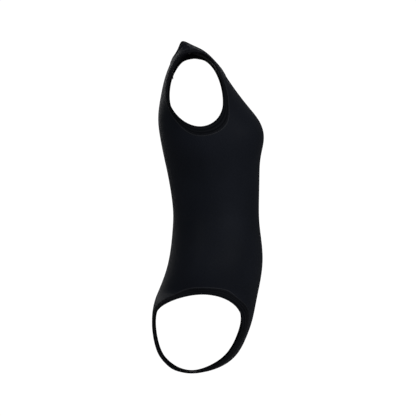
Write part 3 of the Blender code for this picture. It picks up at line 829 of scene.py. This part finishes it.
def add_lining(cloth, looks):
    """The gusset's second layer, a thin sheet under the cloth inside the leg bindings."""
    rows = []
    parts = np.linspace(-1, 1, 29)
    for number in np.linspace(0, 3, 40):
        reach = FRONT.outer(number)[0] - width_at("leg", number) - LINING_CLEAR
        spread = FRONT.row(number, np.linspace(0, 1, 81))
        line = []
        for part in parts:
            spot, normal = cloth.lay(Vector(row_point(spread, reach * part)))
            line.append(tuple(spot - normal * LINING_DEPTH))
        rows.append(line)
    grid = np.array(rows)
    points, faces = grid.reshape(-1, 3), grid_faces(*grid.shape[:2])
    normals = vertex_normals(points, faces)
    item = make_object("gusset_lining", *thick(points, faces, normals, LINING_THICK))
    finish_piece(item, looks["lining"], "lining", "leotard", "crotch_lining")


def fuller(value, power):
    """A sine or a cosine raised to a power under 1, with its sign kept."""
    return math.copysign(abs(value) ** power, value)


def add_tapes(looks):
    """Each stay tape keeps its place: a thin strip with rounded long edges."""
    for side in ("left", "right"):
        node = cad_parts[side + "_shoulder_tape"]
        points = np.array([node.matrix_world @ corner.co for corner in node.data.vertices])
        middle = points.mean(axis=0)
        axes = np.linalg.svd(points - middle)[2]
        spans = [np.abs((points - middle) @ axis).max() for axis in axes]
        rings = []
        turns = math.tau * (np.arange(16) + 0.5) / 16
        for place in np.linspace(-1, 1, 13):
            ripple = 0.05 * MM * math.sin(9 * place)
            ring = [
                middle + axes[0] * spans[0] * place
                + axes[1] * spans[1] * fuller(math.cos(turn), 0.3)
                + axes[2] * (spans[2] * fuller(math.sin(turn), 0.5) + ripple)
                for turn in turns
            ]
            rings.append(ring)
        rings = np.array(rings)
        faces = ring_faces(*rings.shape[:2], closed=False)
        item = make_object(side + "_stay_tape", rings.reshape(-1, 3), faces)
        finish_piece(item, looks["tape"], "tape", "leotard", side + "_shoulder_tape")


def add_label(looks):
    """A blank ribbon folded in two, sewn along its top edge, with a slight curl."""
    low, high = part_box("care_label")
    width, height = high.x - low.x, high.z - low.z
    middle_y = (low.y + high.y) / 2
    rings = []
    for across in np.linspace(0, 1, 25):
        x = low.x + width * across
        curl = LABEL_CURL * (2 * across - 1) ** 2
        front, back = [], []
        for down in np.linspace(0, 1, 31):
            bow = curl * down ** 2 + LABEL_BOW * math.sin(math.pi * down)
            z = high.z - height * down
            front.append((x, middle_y - LABEL_HALF + bow, z))
            back.append((x, middle_y + LABEL_HALF + bow, z))
        rings.append(front + back[::-1])
    rings = np.array(rings)
    body = (rings.reshape(-1, 3), ring_faces(*rings.shape[:2], closed=False))
    pitch = width / LABEL_STITCHES
    starts = low.x + pitch * (np.arange(LABEL_STITCHES) + 0.2)
    along = np.linspace(0, 0.6, 4) * pitch
    rise = np.array((0.0, 0.16, 0.16, 0.0)) * MM
    threads = []
    xs = starts[:, None] + along[None]
    zs = np.full_like(xs, high.z - LABEL_STITCH_DROP)
    for face in (-1, 1):
        ys = np.broadcast_to(middle_y + face * (LABEL_HALF + rise)[None], xs.shape)
        threads.append(tubes(np.stack([xs, ys, zs], axis=2), THREAD_RADIUS, 5))
    points, faces = join_parts([body] + threads)
    item = make_object("blank_care_label", points, faces)
    finish_piece(item, looks["label"], "label", "label", "care_label")


# ---------------------------------------------------------------- materials
class Nodes:
    """Short calls for building a node material."""

    def __init__(self, name):
        self.material = bpy.data.materials.new(name)
        self.material.use_nodes = True
        self.tree = self.material.node_tree
        self.shader = self.tree.nodes["Principled BSDF"]

    def add(self, kind, **inputs):
        node = self.tree.nodes.new(kind)
        for key, value in inputs.items():
            if key in node.inputs:
                node.inputs[key].default_value = value
            else:
                setattr(node, key, value)
        return node

    def link(self, source, target):
        self.tree.links.new(source, target)

    def set(self, **inputs):
        for key, value in inputs.items():
            self.shader.inputs[key.replace("_", " ")].default_value = value

    def place(self):
        return self.add("ShaderNodeTexCoord").outputs["Object"]

    def split(self, vector):
        node = self.add("ShaderNodeSeparateXYZ")
        self.link(vector, node.inputs[0])
        return node.outputs

    def math(self, operation, a, b):
        node = self.add("ShaderNodeMath", operation=operation)
        for k, value in enumerate((a, b)):
            if isinstance(value, (int, float)):
                node.inputs[k].default_value = value
            else:
                self.link(value, node.inputs[k])
        return node.outputs[0]

    def mix(self, *pairs):
        """The sum of (value, weight) pairs."""
        total = self.math("MULTIPLY", *pairs[0])
        for value, weight in pairs[1:]:
            total = self.math("ADD", total, self.math("MULTIPLY", value, weight))
        return total

    def wave(self, coordinate, pitch):
        """A sine of a coordinate with the given pitch, from -1 to 1."""
        return self.math("SINE", self.math("MULTIPLY", coordinate, math.tau / pitch), 0.0)

    def noise(self, vector, scale, detail=2.0):
        node = self.add("ShaderNodeTexNoise", Scale=scale, Detail=detail)
        self.link(vector, node.inputs["Vector"])
        return node.outputs["Fac"]

    def colour(self, value, low, high):
        node = self.add("ShaderNodeValToRGB")
        for element, place, tint in zip(node.color_ramp.elements, (0.3, 0.7), (low, high)):
            element.position = place
            element.color = (*tint, 1)
        self.link(value, node.inputs[0])
        self.link(node.outputs["Color"], self.shader.inputs["Base Color"])

    def bump(self, height, strength, distance):
        node = self.add("ShaderNodeBump", Strength=strength, Distance=distance)
        self.link(height, node.inputs["Height"])
        self.link(node.outputs[0], self.shader.inputs["Normal"])

    def rough(self, value, low, high):
        total = self.math("ADD", self.math("MULTIPLY", value, high - low), low)
        self.link(total, self.shader.inputs["Roughness"])


def shell_material():
    """Nylon and elastane knit: near black with a cool cast, soft sheen, fine vertical wales."""
    nodes = Nodes("black_stretch_knit")
    place = nodes.place()
    weave = nodes.split(nodes.add("ShaderNodeUVMap", uv_map="Weave").outputs[0])
    wales = nodes.wave(weave[0], 0.62 * MM)
    courses = nodes.wave(weave[1], 0.48 * MM)
    fuzz = nodes.noise(place, 1400.0)
    broad = nodes.noise(place, 9.0)
    nodes.colour(broad, (0.0037, 0.0045, 0.0066), (0.0049, 0.0059, 0.0088))
    nodes.rough(broad, 0.50, 0.62)
    nodes.bump(nodes.mix((wales, 0.5), (courses, 0.3), (fuzz, 0.5)), 0.35, 0.06 * MM)
    nodes.set(Specular_IOR_Level=0.028, Sheen_Weight=0.006, Sheen_Roughness=0.35)
    nodes.shader.inputs["Sheen Tint"].default_value = (0.8, 0.86, 1.0, 1)
    return nodes.material


def ridge_material():
    """The shell's cloth where it stands in a ridge over the seam, coloured lighter than the shell: a
    painted highlight along the ridge.
    """
    nodes = Nodes("knit_ridge_painted_highlight")
    place = nodes.place()
    fuzz = nodes.noise(place, 1400.0)
    # Painted highlight: this colour is lighter than the shell's to stand in for the light the ridge
    # catches.
    nodes.colour(nodes.noise(place, 40.0), (0.0085, 0.0092, 0.0115), (0.0105, 0.0113, 0.0140))
    nodes.rough(fuzz, 0.45, 0.60)
    nodes.bump(fuzz, 0.35, 0.06 * MM)
    nodes.set(Specular_IOR_Level=0.05)
    return nodes.material


def binding_material():
    """Matte binding fabric with fine ribs along the edge."""
    nodes = Nodes("black_ribbed_binding")
    place = nodes.place()
    weave = nodes.split(nodes.add("ShaderNodeUVMap", uv_map="Weave").outputs[0])
    ribs = nodes.wave(weave[0], 1.05 * MM)
    gathers = nodes.wave(weave[0], 4.6 * MM)
    cross = nodes.wave(weave[1], 0.6 * MM)
    fuzz = nodes.noise(place, 1100.0)
    broad = nodes.noise(place, 14.0)
    # Colour: random tone, plus painted highlight and shade in stripes that follow the gathers.
    tone_and_gather_shading = nodes.mix((broad, 1.0), (gathers, 0.35))
    nodes.colour(tone_and_gather_shading, (0.0018, 0.0021, 0.0030), (0.0040, 0.0044, 0.0058))
    nodes.rough(fuzz, 0.66, 0.80)
    nodes.bump(nodes.mix((ribs, 0.7), (gathers, 1.2), (cross, 0.25), (fuzz, 0.5)), 0.5, 0.10 * MM)
    nodes.set(Specular_IOR_Level=0.016, Sheen_Weight=0.004, Sheen_Roughness=0.5)
    return nodes.material


def thread_material():
    nodes = Nodes("black_polyester_thread")
    place = nodes.place()
    twist = nodes.add("ShaderNodeTexWave", Scale=2600.0, Distortion=1.0)
    nodes.link(place, twist.inputs["Vector"])
    nodes.colour(nodes.noise(place, 60.0), (0.0036, 0.0038, 0.0044), (0.0055, 0.0058, 0.0068))
    nodes.rough(twist.outputs["Fac"], 0.42, 0.60)
    nodes.bump(twist.outputs["Fac"], 0.4, 0.04 * MM)
    nodes.set(Specular_IOR_Level=0.05, Sheen_Weight=0.01)
    return nodes.material


def elastic_material():
    nodes = Nodes("black_flat_elastic")
    grain = nodes.noise(nodes.place(), 900.0)
    nodes.colour(grain, (0.006, 0.006, 0.007), (0.010, 0.010, 0.011))
    nodes.rough(grain, 0.75, 0.9)
    nodes.bump(grain, 0.5, 0.1 * MM)
    nodes.set(Specular_IOR_Level=0.1)
    return nodes.material


def lining_material():
    nodes = Nodes("black_lining_mesh")
    place = nodes.place()
    cells = nodes.add("ShaderNodeTexVoronoi", Scale=900.0)
    nodes.link(place, cells.inputs["Vector"])
    nodes.colour(nodes.noise(place, 30.0), (0.005, 0.005, 0.006), (0.008, 0.008, 0.009))
    nodes.rough(cells.outputs["Distance"], 0.75, 0.92)
    nodes.bump(cells.outputs["Distance"], 0.5, 0.1 * MM)
    nodes.set(Specular_IOR_Level=0.08, Sheen_Weight=0.03)
    return nodes.material


def tape_material():
    nodes = Nodes("clear_stay_tape")
    grain = nodes.noise(nodes.place(), 500.0)
    nodes.colour(grain, (0.012, 0.012, 0.012), (0.018, 0.018, 0.017))
    nodes.rough(grain, 0.34, 0.48)
    nodes.bump(grain, 0.3, 0.08 * MM)
    nodes.set(Transmission_Weight=0.3, Specular_IOR_Level=0.1)
    return nodes.material


def label_material():
    """Black satin ribbon with fine warp threads."""
    nodes = Nodes("black_satin_ribbon")
    place = nodes.place()
    parts = nodes.split(place)
    warp = nodes.wave(parts[0], 0.35 * MM)
    weft = nodes.wave(parts[2], 0.5 * MM)
    cloud = nodes.noise(place, 40.0)
    nodes.colour(cloud, (0.005, 0.005, 0.006), (0.008, 0.008, 0.009))
    nodes.rough(cloud, 0.42, 0.54)
    nodes.bump(nodes.mix((warp, 1.0), (weft, 0.5)), 0.25, 0.04 * MM)
    nodes.set(Specular_IOR_Level=0.08, Sheen_Weight=0.01, Anisotropic=0.5)
    return nodes.material


# ---------------------------------------------------------------- stage, light and camera
CENTRE = (CAD_LOW + CAD_HIGH) / 2
CAMERA_DISTANCE = 5.5
PICTURE_HEIGHT = 0.8395         # height of the picture at the object (metres)
AIM = Vector((CENTRE.x, -FORWARD_SHIFT * MM, 0.3355))
FLOOR_DROP = 0.30               # the garment is shown held up, this far above the floor


def add_floor():
    """A pale floor below the garment that fades into the white surround, fainter in reflections."""
    bpy.ops.mesh.primitive_circle_add(vertices=96, radius=2.4, fill_type="TRIFAN")
    floor = bpy.context.object
    floor.name = "floor"
    floor.location = (CENTRE.x, CENTRE.y, CAD_LOW.z - FLOOR_DROP)
    nodes = Nodes("pale_floor")
    place = nodes.place()
    length = nodes.add("ShaderNodeVectorMath", operation="LENGTH")
    nodes.link(place, length.inputs[0])
    fade = nodes.add("ShaderNodeMapRange", interpolation_type="SMOOTHSTEP")
    for key, value in (("From Min", 0.8), ("From Max", 2.3), ("To Min", 1.0), ("To Max", 0.0)):
        fade.inputs[key].default_value = value
    nodes.link(length.outputs["Value"], fade.inputs["Value"])
    glossy = nodes.add("ShaderNodeLightPath").outputs["Is Glossy Ray"]
    faint = nodes.math("SUBTRACT", 1.0, nodes.math("MULTIPLY", glossy, 0.85))
    nodes.link(nodes.math("MULTIPLY", fade.outputs[0], faint), nodes.shader.inputs["Alpha"])
    nodes.colour(nodes.noise(place, 30.0, 3.0), (0.873, 0.873, 0.873), (0.88, 0.88, 0.88))
    nodes.set(Roughness=0.9, Specular_IOR_Level=0.1)
    floor.data.materials.append(nodes.material)


def add_world():
    """White to the camera, dimmer as a source of light and dimmest in reflections."""
    world = bpy.data.worlds.new("studio")
    bpy.context.scene.world = world
    world.use_nodes = True
    tree = world.node_tree
    background = tree.nodes["Background"]
    path = tree.nodes.new("ShaderNodeLightPath")
    in_reflections = tree.nodes.new("ShaderNodeMapRange")
    in_reflections.inputs["To Min"].default_value = 0.45
    in_reflections.inputs["To Max"].default_value = 0.12
    to_camera = tree.nodes.new("ShaderNodeMapRange")
    to_camera.inputs["To Max"].default_value = 1.05
    tree.links.new(path.outputs["Is Glossy Ray"], in_reflections.inputs["Value"])
    tree.links.new(in_reflections.outputs[0], to_camera.inputs["To Min"])
    tree.links.new(path.outputs["Is Camera Ray"], to_camera.inputs["Value"])
    tree.links.new(to_camera.outputs[0], background.inputs["Strength"])
    background.inputs["Color"].default_value = (1, 1, 1, 1)


def add_light(name, place, size, power):
    data = bpy.data.lights.new(name, "AREA")
    data.shape = "RECTANGLE"
    data.size, data.size_y = size
    data.energy = power
    item = bpy.data.objects.new(name, data)
    bpy.context.scene.collection.objects.link(item)
    item.location = CENTRE + Vector(place)
    item.rotation_mode = "QUATERNION"
    item.rotation_quaternion = (-Vector(place)).to_track_quat("-Z", "Y")
    item.visible_camera = False


def add_lights():
    add_light("side_softbox", (-2.6, -0.9, 1.0), (1.6, 1.6), 22)
    add_light("far_softbox", (2.6, 0.4, 0.9), (1.8, 1.8), 13)
    add_light("front_strip", (-1.25, -2.25, 1.0), (1.6, 1.8), 38)
    add_light("back_strip", (-1.6, 2.05, 2.0), (1.8, 1.8), 28)
    add_light("top_softbox", (0.0, 0.2, 2.6), (2.0, 1.4), 32)


def add_camera():
    data = bpy.data.cameras.new("camera")
    data.sensor_width = 36
    data.lens = 36 * CAMERA_DISTANCE / PICTURE_HEIGHT
    data.clip_end = 100
    item = bpy.data.objects.new("camera", data)
    bpy.context.scene.collection.objects.link(item)
    item.location = AIM + Vector((-CAMERA_DISTANCE, 0, 0))
    item.rotation_mode = "QUATERNION"
    item.rotation_quaternion = Vector((1, 0, 0)).to_track_quat("-Z", "Y")
    bpy.context.scene.camera = item


# ---------------------------------------------------------------- build
def build():
    bpy.context.scene.view_settings.view_transform = "Standard"
    looks = {
        "shell": shell_material(),
        "ridge": ridge_material(),
        "binding": binding_material(),
        "thread": thread_material(),
        "elastic": elastic_material(),
        "lining": lining_material(),
        "tape": tape_material(),
        "label": label_material(),
    }
    cloth, shells = build_shell()
    bands = {kind: Band(cloth, kind) for kind in WIDTHS}
    add_shells(shells, bands, looks)
    add_edges(bands, looks)
    add_seams(cloth, looks)
    add_lining(cloth, looks)
    add_tapes(looks)
    add_label(looks)
    add_floor()
    add_world()
    add_lights()
    add_camera()


build()
